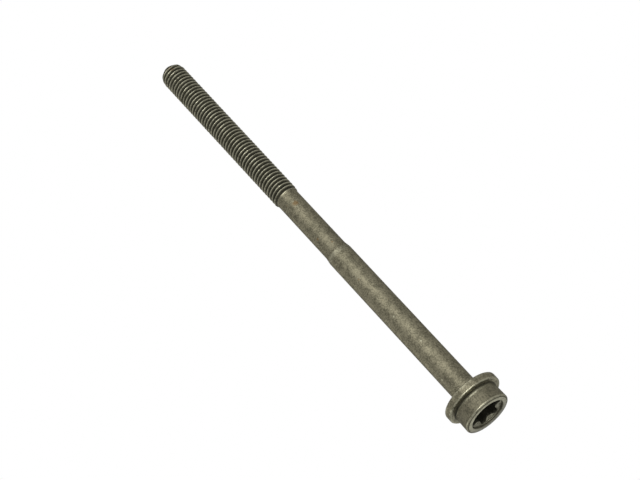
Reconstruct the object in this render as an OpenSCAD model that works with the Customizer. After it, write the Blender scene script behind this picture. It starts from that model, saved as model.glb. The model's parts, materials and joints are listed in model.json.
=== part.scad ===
// Cylinder head bolt: one forged and thread-rolled steel piece.
// It stands on the end of its head. Z runs up the axis, from the head's end to the point.
// Lengths along the bolt are counted from the bearing face, the underside of the flange.

/* [Threaded end] */
// Diameter over the thread crests
crest_d = 11.3; // [10.4:0.02:12]
// Diameter at the thread roots
root_d = 9.1; // [8.2:0.02:9.5]
// Distance from one crest to the next
pitch = 1.814; // [1.7:0.002:1.95]
// Angle between the two flanks of the thread
flank_angle = 60; // [50:5:64]
// Length from the last turn at the shank to the point
thread_len = 90.2; // [60:0.2:110]
// Turns over which the rolled thread fades into the shank
runout_turns = 1; // [0.5:0.5:4]
// Diameter of the flat at the point
point_d = 6; // [4:0.2:7.4]
// Diameter where the steep chamfer of the point ends
chamfer_d = 9.3; // [8.9:0.1:9.9]
// Slope of that chamfer, counted from the end face
chamfer_angle = 45; // [30:5:60]
// Length behind the chamfer over which the crests grow to their full height
lead_len = 4.4; // [1:0.1:6]

/* [Shank] */
// Length from the bearing face to the point
under_head_len = 208.5; // [180:0.1:260]
// Diameter of the fitted shank below the head
shank_d = 10.9; // [10.4:0.05:12]
// Length of the fitted shank, from the bearing face
shank_len = 82; // [40:1:90]
// Length of the cone that steps down from it
step_len = 2.8; // [1:0.1:6]
// Diameter of the waisted shank between the cone and the thread
waist_d = 10; // [9.6:0.05:10.4]
// Radius of the fillet under the flange
fillet_r = 0.8; // [0.4:0.1:1.5]

/* [Flange] */
// Diameter of the flange
flange_d = 24.2; // [22.4:0.1:29]
// Thickness of the flange at its rim
flange_t = 3.35; // [2.8:0.05:4]
// Radius of the rim's edge at the bearing face
rim_lower_r = 0.6; // [0.3:0.1:1.2]
// Radius of the rim's edge at the head
rim_upper_r = 0.4; // [0.3:0.1:1.2]
// Rise of the flange's upper face from the rim to the neck
flange_rise = 0.15; // [0.1:0.05:0.5]

/* [Head] */
// Height of the head, from the bearing face to its end
head_h = 10.9; // [10.6:0.1:14]
// Diameter of the head where the neck ends
head_base_d = 19.65; // [19.1:0.05:21]
// Diameter of the head at its far edge, slightly flared
head_edge_d = 19.9; // [19.3:0.05:21.2]
// Diameter of the neck, where the head meets the flange
neck_d = 19; // [17.8:0.1:19.1]
// Height of the neck's cone
neck_h = 1.4; // [0.8:0.1:1.8]
// Radius of the fillet at the foot of the neck
neck_fillet_r = 0.3; // [0.2:0.05:0.5]
// Radius of the head's outer edge
edge_r = 0.6; // [0.3:0.1:0.8]
// Height of the shallow cone between that edge and the end face
crown_h = 0.1; // [0.05:0.05:0.6]
// Outer diameter of the flat ring on which the bolt stands
land_d = 18.1; // [17:0.1:18.3]

/* [Drive socket] */
// Diameter across the tips of the six lobes
lobe_d = 14.1; // [12.8:0.1:14.2]
// Diameter across the six ridges between the lobes
ridge_d = 10; // [9.2:0.1:10.6]
// Radius of each lobe's tip
lobe_r = 1.4; // [1.1:0.1:1.5]
// Depth of the socket's walls, from the head's end
socket_depth = 7.4; // [5.4:0.1:7.8]
// Height of the cone at the bottom of the socket
socket_cone_h = 1.6; // [1:0.1:2.2]
// Diameter of the round recess at the mouth
mouth_d = 15; // [14.7:0.1:16]
// Diameter of that recess at its foot, from where a shoulder runs in to the lobes
recess_d = 14.5; // [14.3:0.1:14.9]
// Depth of the recess
recess_h = 1.2; // [0.6:0.1:2]

/* [Colour] */
// Colour of the phosphated steel
steel = "#6f6a5c"; // [#6f6a5c:Phosphate grey, #8a8779:Light grey]

/* [Hidden] */

// A hair's breadth, by which one solid runs into another before they are joined or cut
eps = 0.01;
// Segments of a full circle in the turned body
$fn = 180;
// Columns round the thread, and rows of its profile in one turn
columns = 24;
rows = 4;
// Segments of a rounded edge in the turned profile
arc_steps = 6;

// Heights above the surface that the head stands on
bearing_z = head_h;
shank_z = bearing_z + shank_len;
waist_z = shank_z + step_len;
thread_z = bearing_z + under_head_len - thread_len;
point_z = bearing_z + under_head_len;
flange_top_z = bearing_z - flange_t;
neck_z = flange_top_z - flange_rise;
head_base_z = neck_z - neck_h;

// Rows of the thread closer than this to a flat end are left out
row_gap = 0.1;
// The thread's core runs this far into the waisted shank, this far below its surface
core_overlap = 0.6;
core_depth = 0.08;

// Points of a round edge about (r, z), from angle a to angle b
function arc(r, z, radius, a, b) = [
    for (i = [0 : arc_steps])
        let (t = a + (b - a) * i / arc_steps)
            [r + radius * cos(t), z + radius * sin(t)]
];

// Half section of everything but the thread: head end, edge, neck, flange, fillet, shank, waist
function body_section() = concat(
    [[0, 0], [land_d / 2, 0]],
    arc(head_edge_d / 2 - edge_r, crown_h + edge_r, edge_r, -60, 0),
    [[head_base_d / 2, head_base_z]],
    arc(neck_d / 2 + neck_fillet_r, neck_z - neck_fillet_r, neck_fillet_r, 180, 90),
    arc(flange_d / 2 - rim_upper_r, flange_top_z + rim_upper_r, rim_upper_r, -90, 0),
    arc(flange_d / 2 - rim_lower_r, bearing_z - rim_lower_r, rim_lower_r, 0, 90),
    arc(shank_d / 2 + fillet_r, bearing_z + fillet_r, fillet_r, 270, 180),
    [[shank_d / 2, shank_z], [waist_d / 2, waist_z], [waist_d / 2, thread_z], [0, thread_z]]
);

module turned_body() {
    rotate_extrude() polygon(body_section());
}

// Six-lobed outline: each lobe's round tip runs into the two round ridges beside it, and they
// cross by a hair, since arcs that only touch leave slivers
crossing = 0.01;
lobe_centre = lobe_d / 2 - lobe_r;
ridge_gap = ridge_d / 2 - lobe_r + crossing;
ridge_centre = (pow(lobe_centre, 2) - pow(ridge_gap, 2))
    / (2 * (lobe_centre * cos(30) - ridge_gap));
ridge_r = ridge_centre - ridge_d / 2;

function polar(r, a) = [r * cos(a), r * sin(a)];
// Point inside the crossing of the lobe at angle a with the ridge at angle b
function joint(a, b) = polar(lobe_centre, a)
    + (polar(ridge_centre, b) - polar(lobe_centre, a))
        * (lobe_r - crossing / 2) / (lobe_r + ridge_r - crossing);

module lobed_outline() {
    difference() {
        union() {
            polygon([for (a = [0 : 60 : 300], side = [-30, 30]) joint(a, a + side)]);
            for (a = [0 : 60 : 300]) translate(polar(lobe_centre, a)) circle(lobe_r);
        }
        for (a = [30 : 60 : 330]) translate(polar(ridge_centre, a)) circle(ridge_r);
    }
}

// The cones at both ends of the walls narrow to this, clear of the ridges, and the bottom to a tip
cone_d = ridge_d - 0.3;
cone_tip_d = 1;
shoulder_h = 0.25;
module drive_socket() {
    translate([0, 0, -eps]) linear_extrude(socket_depth + eps) lobed_outline();
    translate([0, 0, socket_depth - eps])
        cylinder(d1 = cone_d, d2 = cone_tip_d, h = socket_cone_h);
    translate([0, 0, -eps]) cylinder(d1 = mouth_d, d2 = recess_d, h = recess_h + 2 * eps);
    translate([0, 0, recess_h]) cylinder(d1 = recess_d, d2 = cone_d, h = shoulder_h);
}

// Thread profile over one turn: end of the root, start of the crest, end of the crest, root
flank_len = (crest_d - root_d) / 2 * tan(flank_angle / 2);
crest_len = pitch / 8;
profile_z = [0, flank_len, flank_len + crest_len, 2 * flank_len + crest_len];
profile_r = [root_d / 2, crest_d / 2, crest_d / 2, root_d / 2];

// Height of row k in column i: the rows climb one pitch in a full turn, right-handed
function row_z(i, k) = thread_z
    + pitch * (floor(k / rows) - 1 + i / columns) + profile_z[k % rows];

// The rolled thread grows out of the shank, and the point's chamfer and lead cut it back
function grown_r(z, r) = waist_d / 2
    + (r - waist_d / 2) * min(1, (z - thread_z) / (pitch * runout_turns));
chamfer_len = (chamfer_d - point_d) / 2 * tan(chamfer_angle);
function chamfer_r(z) = (point_d + (point_z - z) * (chamfer_d - point_d) / chamfer_len) / 2;
function lead_r(z) = (chamfer_d
    + (crest_d - chamfer_d) * max(0, point_z - z - chamfer_len) / lead_len) / 2;
function row_r(z, k) = min(grown_r(z, profile_r[k % rows]), chamfer_r(z), lead_r(z));

// Rows of each column that lie between the two flat ends
row_count = rows * ceil(thread_len / pitch + 2);
kept_rows = [
    for (i = [0 : columns - 1]) [
        for (k = [0 : row_count])
            if (row_z(i, k) > thread_z + row_gap && row_z(i, k) < point_z - row_gap) k
    ]
];

// Each column runs from the core in the shank, over its rows, to the flat point
function ring_point(i, r, z) = [r * cos(360 * i / columns), r * sin(360 * i / columns), z];
thread_points = [
    for (i = [0 : columns - 1]) each concat(
        [for (z = [-core_overlap, row_gap / 2])
            ring_point(i, waist_d / 2 - core_depth, thread_z + z)],
        [for (k = kept_rows[i]) ring_point(i, row_r(row_z(i, k), k), row_z(i, k))],
        [ring_point(i, point_d / 2, point_z)]
    )
];

// Numbers of a column's points: its core's two, the one in its row k, and its last
first = [for (i = 0, n = 0; i <= columns; n = n + len(kept_rows[i % columns]) + 3, i = i + 1) n];
function core(i) = first[i % columns];
function collar(i) = core(i) + 1;
function at(i, k) = i < columns ? collar(i) + 1 + k - kept_rows[i][0] : at(0, k + rows);
function top(i) = first[i % columns + 1] - 1;
function lowest(i) = i < columns ? kept_rows[i][0] : kept_rows[0][0] - rows;
function highest(i) = lowest(i) + len(kept_rows[i % columns]) - 1;

// Triangles between column i and the next one, j, clockwise from outside
function strip(i, j) =
    let (
        low = max(lowest(i), lowest(j)),
        high = min(highest(i), highest(j)),
        foot = at(j, lowest(j)),
        crown = at(i, highest(i))
    )
    concat(
        [[core(i), collar(i), collar(j)], [core(i), collar(j), core(j)]],
        [[collar(i), at(i, low), foot], [collar(i), foot, collar(j)]],
        [for (k = [lowest(j) : 1 : low - 1]) [at(i, low), at(j, k + 1), at(j, k)]],
        [for (k = [low : high - 1]) each [
            [at(i, k), at(i, k + 1), at(j, k + 1)],
            [at(i, k), at(j, k + 1), at(j, k)]
        ]],
        [for (k = [high : 1 : highest(i) - 1]) [at(i, k), at(i, k + 1), at(j, high)]],
        [[crown, top(i), top(j)], [crown, top(j), at(j, high)]]
    );

module thread() {
    polyhedron(
        thread_points,
        concat(
            [[for (i = [0 : columns - 1]) core(i)]],
            [for (i = [0 : columns - 1]) each strip(i, i + 1)],
            [[for (i = [columns - 1 : -1 : 0]) top(i)]]
        )
    );
}

module head_bolt() {
    color(steel) {
        difference() {
            turned_body();
            drive_socket();
        }
        thread();
    }
}

head_bolt();
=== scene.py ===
"""A used cylinder head bolt of phosphated steel, which stands on its head.

Its skin is one closed mesh of rows round the axis: out of the socket, over the head and the
flange, along the shank and the waist, and up the turns of the rolled thread to the point.
"""
import json
import math

import bpy
import numpy as np
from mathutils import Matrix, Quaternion, Vector, noise


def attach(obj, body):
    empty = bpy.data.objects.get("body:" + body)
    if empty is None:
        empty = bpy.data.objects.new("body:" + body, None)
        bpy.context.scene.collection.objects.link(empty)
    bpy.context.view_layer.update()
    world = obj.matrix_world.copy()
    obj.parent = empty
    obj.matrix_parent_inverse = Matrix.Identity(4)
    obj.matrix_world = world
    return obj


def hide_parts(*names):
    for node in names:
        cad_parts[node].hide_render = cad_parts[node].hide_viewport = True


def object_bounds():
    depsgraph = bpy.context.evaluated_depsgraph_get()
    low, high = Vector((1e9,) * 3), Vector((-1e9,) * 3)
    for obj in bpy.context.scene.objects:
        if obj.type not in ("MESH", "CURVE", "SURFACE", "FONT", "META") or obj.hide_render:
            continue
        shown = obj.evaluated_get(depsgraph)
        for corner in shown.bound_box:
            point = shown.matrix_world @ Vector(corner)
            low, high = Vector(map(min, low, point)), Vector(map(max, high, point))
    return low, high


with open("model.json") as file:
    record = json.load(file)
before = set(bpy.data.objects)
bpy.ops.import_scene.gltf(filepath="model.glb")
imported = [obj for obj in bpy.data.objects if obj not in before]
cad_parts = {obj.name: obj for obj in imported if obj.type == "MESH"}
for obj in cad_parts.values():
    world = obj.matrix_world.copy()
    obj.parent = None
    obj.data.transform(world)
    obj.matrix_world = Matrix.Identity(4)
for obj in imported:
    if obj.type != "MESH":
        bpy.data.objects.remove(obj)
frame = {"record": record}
cad_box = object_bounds()

MM = 0.001
mounts = {mount["name"]: mount for mount in frame["record"]["mounts"]}

# The lamps that face the bolt light only what is in this collection
lit_pieces = bpy.data.collections.new("lit_pieces")

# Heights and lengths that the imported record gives
BEARING_Z = mounts["bearing_face"]["pos_m"][2]
POINT_Z = cad_box[1].z
CREST_R = mounts["male_thread"]["dims"]["r_mm"] * MM
THREAD_LEN = mounts["male_thread"]["dims"]["length_mm"] * MM
SHANK_R = mounts["shank"]["dims"]["r_mm"] * MM
LOBE_TIP_R = mounts["drive_socket"]["dims"]["r_mm"] * MM
SOCKET_DEPTH = mounts["drive_socket"]["dims"]["length_mm"] * MM

# Thread, with a chamfer at its point and a lead from there to the full crests
PITCH = 1.814 * MM
ROOT_R = 4.55 * MM
FLANK_ANGLE = math.radians(30)
RUNOUT_TURNS = 1
RUNOUT_AHEAD = 0.2
POINT_R = 3 * MM
POINT_GAP = 0.1 * MM
CHAMFER_R = 5.1 * MM
LEAD_LEN = 2.2 * MM

# Shank
SHANK_LEN = 82 * MM
STEP_LEN = 2.8 * MM
WAIST_R = 5 * MM
FILLET_R = 0.8 * MM

# Flange
FLANGE_R = 12.1 * MM
FLANGE_T = 3.35 * MM
RIM_LOWER_R = 0.6 * MM
RIM_UPPER_R = 0.5 * MM
FLANGE_RISE = 0.15 * MM

# Head, which flares from its base at the neck to its edge
HEAD_BASE_R = 9.825 * MM
HEAD_EDGE_R = 9.95 * MM
NECK_R = 9.5 * MM
NECK_H = 0.8 * MM
BASE_R = 1.5 * MM
NECK_FILLET_R = 0.3 * MM
EDGE_R = 0.6 * MM
CROWN_H = 0.1 * MM
LAND_R = 9.05 * MM

# Drive socket
RIDGE_TIP_R = 5 * MM
LOBE_R = 1.4 * MM
SOCKET_CONE_H = 1.6 * MM
CONE_R = 4.85 * MM
CONE_TIP_R = 0.5 * MM
MOUTH_R = 7.5 * MM
RECESS_R = 7.25 * MM
RECESS_H = 1 * MM
SHOULDER_H = 0.6 * MM
MOUTH_BEVEL = 0.1 * MM
FOOT_BEVEL = 0.25 * MM

# Rust marks that face the photo's camera: x, height, radius of the steel there, reach
RUST_MARKS = [
    (1.0 * MM, 122.3 * MM, WAIST_R, 1.9 * MM),
    (1.4 * MM, 97.3 * MM, WAIST_R, 0.8 * MM),
    (-2.4 * MM, 102.9 * MM, WAIST_R, 1.0 * MM),
    (-1.2 * MM, 76.3 * MM, SHANK_R, 0.8 * MM),
    (1.2 * MM, 215.5 * MM, CREST_R, 1.7 * MM),
]

# Marks in the same form where the coat is knocked off
BRIGHT_MARKS = [
    (-3.8 * MM, 21.3 * MM, SHANK_R, 0.7 * MM),
    (0.4 * MM, 38.5 * MM, SHANK_R, 0.5 * MM),
    (-1.0 * MM, 54.0 * MM, SHANK_R, 0.5 * MM),
]

# Height over which the rubbed steel of an edge fades into the coat
RUB_END = 0.15 * MM

# Dents in crests and edges
NICK_SIZE = 1.3 * MM
NICK_DEPTH = 0.14 * MM

# Edges of the mesh that turn by more than this are shaded sharp
SHARP_TURN = math.radians(38)

# Columns of points round the axis: the one at -90 degrees faces the photo's camera
COLUMNS = 120
ANGLES = np.arange(COLUMNS) * 2 * math.pi / COLUMNS

# Painted shade on the ring round the socket's mouth: none in front, darkest at the back
RING_SHADE = 0.6 * (0.5 + 0.5 * np.sin(ANGLES)) ** 1.5

# Painted shade on the socket's shoulders, darkest at the sides
SIDE_SHADE = 0.35 * np.abs(np.cos(ANGLES))

# Painted shadow in the neck's fillet under the flange, darkest in front
NECK_SHADOW = 0.45 + 0.25 * np.clip(-np.sin(ANGLES), 0, 1)

# Painted highlight on the head's side in front: a band of lighter, smoother steel
HIGHLIGHT_SIDE = math.radians(-84)
FRONT_HIGHLIGHT = np.clip(np.cos(ANGLES - HIGHLIGHT_SIDE), 0, 1) ** 14


class Row:
    """One row of points round the axis, with its wear and painted highlight, and its grime and
    painted shade.
    """

    def __init__(self, radius, height, rubbed=0.0, recess=0.0):
        self.radius = np.broadcast_to(radius, COLUMNS)
        self.height = np.broadcast_to(height, COLUMNS)
        self.rubbed = np.broadcast_to(rubbed, COLUMNS)
        self.recess = np.broadcast_to(recess, COLUMNS)


def arc(radius, height, bend, start, end, steps=8, rubbed=0.0, recess=0.0):
    """Rows over a rounded edge of radius bend about (radius, height), angles in degrees."""
    turned = np.radians(np.linspace(start, end, steps + 1))
    across = bend * np.cos(turned)
    up = bend * np.sin(turned)
    return [Row(radius + a, height + b, rubbed, recess) for a, b in zip(across, up)]


def straight(start, end, steps, rubbed=0.0, recess=0.0):
    """Evenly spaced rows between two rows, which are left out themselves."""
    shares = np.arange(1, steps) / steps
    return [
        Row(
            start.radius + (end.radius - start.radius) * share,
            start.height + (end.height - start.height) * share,
            rubbed,
            recess,
        )
        for share in shares
    ]


def socket_wall():
    """Distance from the axis to the six-lobed wall, in each column."""
    lobe_centre = LOBE_TIP_R - LOBE_R
    gap = RIDGE_TIP_R - LOBE_R
    half_step = math.radians(30)
    ridge_centre = (lobe_centre**2 - gap**2) / (2 * (lobe_centre * math.cos(half_step) - gap))
    ridge_r = ridge_centre - RIDGE_TIP_R
    reach = LOBE_R / (LOBE_R + ridge_r)
    touch_x = lobe_centre + (ridge_centre * math.cos(half_step) - lobe_centre) * reach
    touch_y = ridge_centre * math.sin(half_step) * reach
    from_lobe = np.abs((ANGLES + half_step) % (2 * half_step) - half_step)
    from_ridge = half_step - from_lobe
    in_lobe = np.maximum(LOBE_R**2 - (lobe_centre * np.sin(from_lobe)) ** 2, 0)
    on_ridge = np.maximum(ridge_r**2 - (ridge_centre * np.sin(from_ridge)) ** 2, 0)
    lobe = lobe_centre * np.cos(from_lobe) + np.sqrt(in_lobe)
    ridge = ridge_centre * np.cos(from_ridge) - np.sqrt(on_ridge)
    return np.where(from_lobe < math.atan2(touch_y, touch_x), lobe, ridge)


def socket_rows():
    """Rows of the drive socket, from the tip of its conical bottom to its mouth."""
    wall = socket_wall()
    tip = Row(CONE_TIP_R, SOCKET_DEPTH + SOCKET_CONE_H, recess=1)
    ledge = Row(CONE_R, SOCKET_DEPTH, recess=1)
    foot = Row(wall, SOCKET_DEPTH - FOOT_BEVEL, recess=1)
    slope = SHOULDER_H / (RECESS_R - CONE_R)
    lip = Row(wall, RECESS_H + (RECESS_R - wall) * slope, rubbed=1, recess=SIDE_SHADE)
    shoulder = Row(RECESS_R, RECESS_H, rubbed=1, recess=SIDE_SHADE)
    mouth = Row(MOUTH_R, MOUTH_BEVEL, rubbed=1, recess=RING_SHADE)
    # The socket's bottom and lower walls are black with grime and painted shade, and its shoulders
    # and ring are worn steel
    return [
        tip,
        *straight(tip, ledge, 4, recess=1),
        ledge,
        Row(wall - FOOT_BEVEL, SOCKET_DEPTH, recess=1),
        foot,
        *straight(foot, lip, 6, recess=0.85),
        lip,
        *straight(lip, shoulder, 3, rubbed=1, recess=SIDE_SHADE),
        shoulder,
        *straight(shoulder, mouth, 3, recess=0.55),
        mouth,
        Row(MOUTH_R + MOUTH_BEVEL, 0, rubbed=1, recess=RING_SHADE),
    ]


def head_rows():
    """Rows from the flat ring on which the bolt stands, round the edge, up to the neck's foot."""
    flange_top = BEARING_Z - FLANGE_T
    neck_z = flange_top - FLANGE_RISE
    # The ring round the mouth is worn steel, with painted shade towards the back
    land = Row(LAND_R, 0, rubbed=1, recess=RING_SHADE)
    edge = arc(HEAD_EDGE_R - EDGE_R, CROWN_H + EDGE_R, EDGE_R, -60, 0, 8, rubbed=0.55)
    # The base's arc is lighter, smoother steel: a painted highlight
    base = arc(HEAD_BASE_R - BASE_R, neck_z - NECK_H, BASE_R, 0, 14, 3, rubbed=0.8)
    # The head's side is darker between its edge and its base
    above_edge = Row(HEAD_EDGE_R, CROWN_H + EDGE_R + RUB_END, recess=0.22)
    # A painted highlight in front, just below the base
    highlight_row = Row(HEAD_BASE_R, neck_z - NECK_H - 2 * RUB_END, rubbed=FRONT_HIGHLIGHT)
    below_base = Row(HEAD_BASE_R, neck_z - NECK_H - 5 * RUB_END, recess=0.15)
    # The neck's fillet is darkened with painted shadow under the flange
    foot = arc(
        NECK_R + NECK_FILLET_R, neck_z - NECK_FILLET_R, NECK_FILLET_R, 180, 90, 6, recess=NECK_SHADOW
    )
    return [
        land,
        # Painted shade darkens the crown between the ring and the edge
        *straight(land, edge[0], 4, recess=0.45),
        *edge,
        above_edge,
        *straight(above_edge, below_base, 8, recess=0.22),
        below_base,
        highlight_row,
        *base,
        # The neck's cone is lighter steel: painted light where the flange's shadow falls
        *straight(base[-1], foot[0], 3, rubbed=0.8),
        *foot,
    ]


def flange_rows():
    """Rows over the flange, from the neck's foot to the fillet under its bearing face."""
    flange_top = BEARING_Z - FLANGE_T
    neck = Row(NECK_R + NECK_FILLET_R, flange_top - FLANGE_RISE)
    upper = arc(
        FLANGE_R - RIM_UPPER_R, flange_top + RIM_UPPER_R, RIM_UPPER_R, -90, 0, 8, rubbed=0.55
    )
    lower = arc(
        FLANGE_R - RIM_LOWER_R, BEARING_Z - RIM_LOWER_R, RIM_LOWER_R, 0, 90, 8, rubbed=0.3
    )
    fillet = arc(SHANK_R + FILLET_R, BEARING_Z + FILLET_R, FILLET_R, 270, 180, 8)
    return [
        # The fillet's top carries the same painted shadow
        Row(NECK_R + 2 * NECK_FILLET_R, flange_top - 0.8 * FLANGE_RISE, recess=NECK_SHADOW),
        # The flange's upper face is a little lighter steel: painted light on a face in shade
        *straight(neck, upper[0], 5, rubbed=0.25),
        *upper,
        Row(FLANGE_R, flange_top + RIM_UPPER_R + RUB_END),
        *straight(upper[-1], lower[0], 3),
        *lower,
        *straight(lower[-1], fillet[0], 6, rubbed=0.4),
        *fillet,
    ]


def shank_rows():
    """Rows along the fitted shank, its step and the waist, up to just under the first turn."""
    foot = Row(SHANK_R, BEARING_Z + FILLET_R)
    step = Row(SHANK_R, BEARING_Z + SHANK_LEN, rubbed=0.35)
    waist = Row(WAIST_R, BEARING_Z + SHANK_LEN + STEP_LEN)
    thread_foot = Row(WAIST_R, POINT_Z - THREAD_LEN - PITCH * 1.5)
    return [
        *straight(foot, step, 36),
        step,
        *straight(step, waist, 3),
        waist,
        *straight(waist, thread_foot, 18),
        thread_foot,
    ]


def thread_profile():
    """Points of the profile from one root to the next: height, depth, wear and highlight, grime and
    shade.
    """
    depth = CREST_R - ROOT_R
    # Roots and flanks are black with grime and painted shade, and crests are worn steel
    half = [
        (0.0, depth, 0.0, 1.0),
        (0.11 * MM, 0.985 * depth, 0.0, 1.0),
        (0.235 * MM, 0.88 * depth, 0.0, 0.95),
        (0.495 * MM, 0.475 * depth, 0.0, 0.7),
        (0.755 * MM, 0.07 * depth, 0.6, 0.0),
        (0.815 * MM, 0.012 * depth, 0.9, 0.0),
    ]
    crest = (PITCH / 2, 0.0, 1.0, 0.0)
    back = [(PITCH - height, *rest) for height, *rest in reversed(half[1:])]
    return [*half, crest, *back]


PROFILE = thread_profile()
ROWS_A_TURN = len(PROFILE)
CHAMFER_LEN = CHAMFER_R - POINT_R


def chamfered(height):
    """Radius to which the chamfer and the lead behind it cut the thread back."""
    below = POINT_Z - height
    chamfer = POINT_R + below
    lead_share = np.maximum(below - CHAMFER_LEN, 0) / LEAD_LEN
    return np.minimum(chamfer, CHAMFER_R + (CREST_R - CHAMFER_R) * lead_share)


def thread_rows():
    """Rows that climb one pitch in a turn, right-handed, out of the waist to the chamfer."""
    thread_z = POINT_Z - THREAD_LEN
    crest_flat = PITCH / 8
    half_root = (PITCH - crest_flat - 2 * (CREST_R - ROOT_R) * math.tan(FLANK_ANGLE)) / 2
    start = thread_z - half_root
    rows = []
    turn = -1
    while True:
        for height, depth, rubbed, recess in PROFILE:
            foot = start + turn * PITCH + height
            if foot + PITCH > POINT_Z - POINT_GAP:
                return rows
            place = foot + PITCH * ANGLES / (2 * math.pi)
            grown = np.clip((place - thread_z) / (PITCH * RUNOUT_TURNS) + RUNOUT_AHEAD, 0, 1)
            full = WAIST_R + (CREST_R - depth - WAIST_R) * grown
            radius = np.minimum(full, chamfered(place))
            rows.append(Row(radius, place, rubbed * grown, recess * grown**2))
        turn += 1


def join_rows(plain, helical, ends):
    """Faces between the plain rows, the helical rows, and the plain rows at the end.

    Rows are numbered in that order, and row r holds the points r * COLUMNS and on. A helical
    row climbs a pitch in its turn, so its last point meets the first of the row a turn ahead.
    """
    columns = np.arange(COLUMNS)
    following = (columns + 1) % COLUMNS

    def point(row, column):
        return row * COLUMNS + column

    def band(row):
        return np.stack(
            [
                point(row, columns),
                point(row, following),
                point(row + 1, following),
                point(row + 1, columns),
            ],
            axis=1,
        ).tolist()

    first, last = plain, plain + helical - 1
    faces = []
    for row in [*range(plain - 1), *range(last + 1, last + ends)]:
        faces += band(row)
    for row in range(first - 1, last + 1):
        faces += band(row)[:-1]
    edge = COLUMNS - 1

    # The seam where each turn meets the next
    for row in range(first, last - ROWS_A_TURN):
        ahead = row + ROWS_A_TURN
        faces.append([point(row, edge), point(ahead, 0), point(ahead + 1, 0), point(row + 1, edge)])

    # Fans that close the step at the thread's start, and the one at its end
    faces.append([point(first, edge), point(first - 1, edge), point(first - 1, 0)])
    for row in range(first - 1, first + ROWS_A_TURN):
        faces.append([point(first, edge), point(row, 0), point(row + 1, 0)])
    faces.append([point(last, 0), point(last + 1, 0), point(last + 1, edge)])
    for row in range(last + 1, last - ROWS_A_TURN, -1):
        faces.append([point(last, 0), point(row, edge), point(row - 1, edge)])
    return faces


def nicked(points, rubbed):
    """The points with shallow dents in the rubbed crests and edges, where tools and boxes hit."""
    knocks = np.array([noise.noise(Vector(point) / NICK_SIZE) for point in points.tolist()])
    depth = NICK_DEPTH * rubbed * np.clip(knocks - 0.1, 0, 0.5)
    reach = np.maximum(np.hypot(points[:, 0], points[:, 1]), POINT_R)
    dented = points.copy()
    dented[:, :2] *= (1 - depth / reach)[:, None]
    return dented


def bolt_skin():
    """The bolt's mesh object, with its wear and painted highlights and its grime and painted shade
    as attributes.
    """
    plain = [*socket_rows(), *head_rows(), *flange_rows(), *shank_rows()]
    thread = thread_rows()
    inner_share = 0.6
    ends = [Row(POINT_R, POINT_Z), Row(POINT_R * inner_share, POINT_Z)]
    rows = [*plain, *thread, *ends]
    radius = np.concatenate([row.radius for row in rows])
    height = np.concatenate([row.height for row in rows])
    angle = np.tile(ANGLES, len(rows))
    points = np.stack([radius * np.cos(angle), radius * np.sin(angle), height], axis=1)
    points = nicked(points, np.concatenate([row.rubbed for row in rows]))
    faces = join_rows(len(plain), len(thread), len(ends))
    faces.append(list(range(COLUMNS))[::-1])
    last = len(rows) - 1
    faces.append(list(range(last * COLUMNS, (last + 1) * COLUMNS)))
    mesh = bpy.data.meshes.new("head_bolt_skin")
    mesh.from_pydata(points.tolist(), [], faces)
    for name in ("rubbed", "recess"):
        layer = mesh.attributes.new(name, "FLOAT", "POINT")
        layer.data.foreach_set("value", np.concatenate([getattr(row, name) for row in rows]))
    mesh.shade_smooth()
    mesh.set_sharp_from_angle(angle=SHARP_TURN)
    mesh.validate()
    skin = bpy.data.objects.new("head_bolt_skin", mesh)
    bpy.context.scene.collection.objects.link(skin)
    return skin


class Value:
    """A socket of a shader: arithmetic on it adds Math nodes to its tree."""

    def __init__(self, shader, socket):
        self.shader = shader
        self.socket = socket

    def maths(self, operation, first, second):
        return self.shader.node("Math", {"operation": operation}, {0: first, 1: second})

    def __add__(self, other):
        return self.maths("ADD", self, other)

    __radd__ = __add__

    def __sub__(self, other):
        return self.maths("SUBTRACT", self, other)

    def __rsub__(self, other):
        return self.maths("SUBTRACT", other, self)

    def __mul__(self, other):
        return self.maths("MULTIPLY", self, other)

    __rmul__ = __mul__


class Shader:
    """The node tree of a material or of the world."""

    def __init__(self, owner):
        owner.use_nodes = True
        self.tree = owner.node_tree
        self.tree.nodes.clear()

    def node(self, kind, settings=None, inputs=None, output=0):
        """A new node with its settings and inputs, as the Value of one of its outputs."""
        made = self.tree.nodes.new("ShaderNode" + kind)
        for name, value in (settings or {}).items():
            setattr(made, name, value)
        for name, value in (inputs or {}).items():
            if isinstance(value, Value):
                self.tree.links.new(value.socket, made.inputs[name])
            else:
                made.inputs[name].default_value = value
        return Value(self, made.outputs[output]) if made.outputs else made

    def attribute(self, name):
        return self.node("Attribute", {"attribute_name": name}, output="Fac")

    def noise(self, place, size, detail=3.0, roughness=0.55):
        """Noise from 0 to 1 whose features are about size metres across."""
        inputs = {"Vector": place, "Scale": 1 / size, "Detail": detail, "Roughness": roughness}
        return self.node("TexNoise", {}, inputs)

    def ramp(self, value, low, high):
        """0 below low, 1 above high, and smooth between them."""
        inputs = {"Value": value, "From Min": low, "From Max": high}
        return self.node("MapRange", {"interpolation_type": "SMOOTHSTEP"}, inputs)

    def mark(self, place, ragged, across, height, radius, reach):
        """A mark on the photo's side, ragged at its edge: 1 at its middle and 0 past its reach."""
        middle = (across, -math.sqrt(radius**2 - across**2), height)
        settings = {"operation": "DISTANCE"}
        away = self.node("VectorMath", settings, {0: place, 1: middle}, output="Value")
        return self.ramp(away * (1 / reach) + 1.6 * (ragged - 0.5), 1.0, 0.1)

    def mix(self, factor, first, second):
        """Colour from first to second as factor goes from 0 to 1, through Mix's colour sockets."""
        return self.node("Mix", {"data_type": "RGBA"}, {0: factor, 6: first, 7: second}, output=2)


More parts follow.
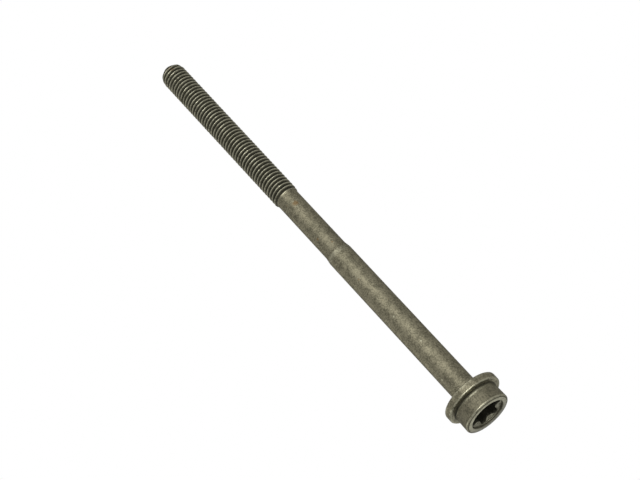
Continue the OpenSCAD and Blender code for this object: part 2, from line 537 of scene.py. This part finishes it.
def phosphated_steel():
    """Mottled grey-green phosphate with rust: bright with wear and painted highlights on crests and
    edges, black with grime and painted shade in grooves.
    """
    dark_coat = (0.068, 0.063, 0.042, 1)
    light_coat = (0.160, 0.147, 0.101, 1)
    worn_steel_and_highlight = (0.290, 0.282, 0.208, 1)
    grime_and_shade_black = (0.012, 0.012, 0.0075, 1)
    brown_rust = (0.15, 0.085, 0.028, 1)
    material = bpy.data.materials.new("phosphated_steel")
    shader = Shader(material)
    place = shader.node("TexCoord", output="Object")
    rubbed = shader.attribute("rubbed")
    recess = shader.attribute("recess")
    speckle = shader.noise(place, 0.55 * MM, detail=2.0)
    mottle = shader.noise(place, 2.2 * MM, detail=4.0)
    patches = shader.noise(place, 14 * MM, detail=3.0)
    tone = shader.ramp(0.5 * speckle + 0.35 * mottle + 0.15 * patches, 0.38, 0.62)
    coat = shader.mix(tone, dark_coat, light_coat)
    bright = rubbed * shader.ramp(0.6 * mottle + 0.4 * speckle, 0.30, 0.55)
    for across, height, radius, reach in BRIGHT_MARKS:
        bright = bright + 0.6 * shader.mark(place, mottle, across, height, radius, reach)
    # Worn steel lightens crests, edges and knocked marks, and also gives the painted highlights
    # that the rows carry
    worn_and_highlit = shader.mix(bright, coat, worn_steel_and_highlight)
    # Grime and painted shade blacken the grooves, the socket and the other places that the rows
    # mark
    grimed_and_shaded = shader.mix(recess, worn_and_highlit, grime_and_shade_black)
    spots = shader.ramp(shader.noise(place, 3.2 * MM, detail=5.0, roughness=0.65), 0.68, 0.76)
    for across, height, radius, reach in RUST_MARKS:
        spots = spots + shader.mark(place, mottle, across, height, radius, reach)
    rusty = 0.5 * shader.ramp(spots * (1 - 0.6 * recess), 0.0, 1.0)
    colour = shader.mix(rusty, grimed_and_shaded, brown_rust)
    polish = shader.ramp(bright, 0.0, 0.5)
    roughness = 0.50 + 0.12 * (speckle - 0.5) - 0.22 * polish + 0.3 * recess
    relief = (0.7 * speckle + 0.8 * mottle) * (1 - 0.85 * bright)
    grain = shader.node("Bump", {}, {"Strength": 0.5, "Distance": 0.04 * MM, "Height": relief})
    surface = shader.node(
        "BsdfPrincipled",
        {},
        {
            "Base Color": colour,
            "Roughness": roughness + 0.25 * rusty,
            "Metallic": 0.85 - 0.5 * recess - 0.3 * rusty,
            "Normal": grain,
            "Specular Tint": (0.4, 0.4, 0.4, 1),
        },
    )
    shader.node("OutputMaterial", {}, {"Surface": surface})
    return material


def pale_floor():
    """Pale floor that shows from above alone, since the photo's view comes from below it."""
    material = bpy.data.materials.new("pale_floor")
    shader = Shader(material)
    behind = shader.node("NewGeometry", output="Backfacing")
    matt = shader.node("BsdfDiffuse", {}, {"Color": (0.8, 0.8, 0.79, 1)})
    seen = shader.node("LightPath", output="Is Camera Ray")
    glow = shader.node("Emission", {}, {"Strength": 0.45 * seen})
    pale = shader.node("AddShader", {}, {0: matt, 1: glow})
    clear = shader.node("BsdfTransparent")
    surface = shader.node("MixShader", {}, {0: behind, 1: pale, 2: clear})
    shader.node("OutputMaterial", {}, {"Surface": surface})
    half = 2.0
    corners = [(-half, -half, 0), (half, -half, 0), (half, half, 0), (-half, half, 0)]
    mesh = bpy.data.meshes.new("floor")
    mesh.from_pydata(corners, [], [(0, 1, 2, 3)])
    mesh.materials.append(material)
    floor = bpy.data.objects.new("floor", mesh)
    clearance = 0.05 * MM
    floor.location.z = cad_box[0].z - clearance
    floor.visible_shadow = floor.visible_diffuse = floor.visible_glossy = False
    bpy.context.scene.collection.objects.link(floor)
    return floor


def white_world(ambient):
    """White behind the bolt and in its reflections, and a weaker light on its surfaces."""
    world = bpy.data.worlds.new("studio")
    bpy.context.scene.world = world
    shader = Shader(world)
    seen = shader.node("LightPath", output="Is Camera Ray")
    mirrored = shader.node("LightPath", output="Is Glossy Ray")
    through = shader.node("LightPath", output="Is Transmission Ray")
    shown = shader.node("Math", {"operation": "MAXIMUM"}, {0: seen, 1: mirrored})
    shown = shader.node("Math", {"operation": "MAXIMUM"}, {0: shown, 1: through})
    strength = ambient + (1 - ambient) * shown
    inputs = {"Color": (1, 1, 1, 1), "Strength": strength}
    background = shader.node("Background", {}, inputs)
    shader.node("OutputWorld", {}, {"Surface": background})


def softbox(name, azimuth, elevation, distance, width, height, radiance):
    """A flat lamp that lights the bolt alone and faces its middle.

    Azimuth 0 is at -Y, on the photo's side, and 90 is at +X.
    """
    turn, rise = math.radians(azimuth), math.radians(elevation)
    back = Vector(
        (math.sin(turn) * math.cos(rise), -math.cos(turn) * math.cos(rise), math.sin(rise))
    )
    lamp = bpy.data.lights.new(name, "AREA")
    lamp.shape = "RECTANGLE"
    lamp.size = width
    lamp.size_y = height
    lamp.energy = radiance * math.pi * width * height
    light = bpy.data.objects.new(name, lamp)
    light.location = Vector((0, 0, POINT_Z / 2)) + back * distance
    light.rotation_mode = "QUATERNION"
    light.rotation_quaternion = (-back).to_track_quat("-Z", "Y")
    light.light_linking.receiver_collection = lit_pieces
    bpy.context.scene.collection.objects.link(light)


def daylight():
    """A lamp from above, which gives the floor its light and the bolt its shadow there."""
    lamp = bpy.data.lights.new("daylight", "AREA")
    lamp.size = 0.5
    lamp.energy = 5
    light = bpy.data.objects.new("daylight", lamp)
    light.location = (-0.3, -0.2, 1.6)
    bpy.context.scene.collection.objects.link(light)


def photo_camera():
    """The photo's camera: it looks up from below the plane of the head's end, rolled aside."""
    aim = Vector((-1.79 * MM, 0, 0.10445))
    distance = 0.6553
    elevation = math.radians(-29.505)
    roll = math.radians(-42.735)
    back = Vector((0, -math.cos(elevation), math.sin(elevation)))
    lens = bpy.data.cameras.new("camera")
    lens.lens = 90.58
    lens.sensor_width = 36
    camera = bpy.data.objects.new("camera", lens)
    camera.rotation_mode = "QUATERNION"
    camera.location = aim + back * distance
    level = (-back).to_track_quat("-Z", "Y")
    camera.rotation_quaternion = level @ Quaternion((0, 0, 1), roll)
    bpy.context.scene.collection.objects.link(camera)
    bpy.context.scene.camera = camera


bpy.context.scene.view_settings.view_transform = "Standard"

bolt = bolt_skin()
bolt.data.materials.append(phosphated_steel())
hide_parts("head_bolt")
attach(bolt, "root")
pale_floor()

lit_pieces.objects.link(bolt)
white_world(ambient=0.26)
daylight()
softbox("key", azimuth=8, elevation=14, distance=0.9, width=0.62, height=0.8, radiance=1.15)
softbox("crests", azimuth=7, elevation=32, distance=0.9, width=0.9, height=0.3, radiance=2.4)
softbox("glint", azimuth=8, elevation=-10, distance=0.8, width=0.75, height=0.10, radiance=22)
softbox("left", azimuth=-105, elevation=10, distance=0.7, width=0.35, height=0.35, radiance=2.4)
softbox("low", azimuth=-170, elevation=-22, distance=0.8, width=0.6, height=0.4, radiance=1.0)
softbox("under", azimuth=5, elevation=-40, distance=0.8, width=0.4, height=0.3, radiance=2)
photo_camera()
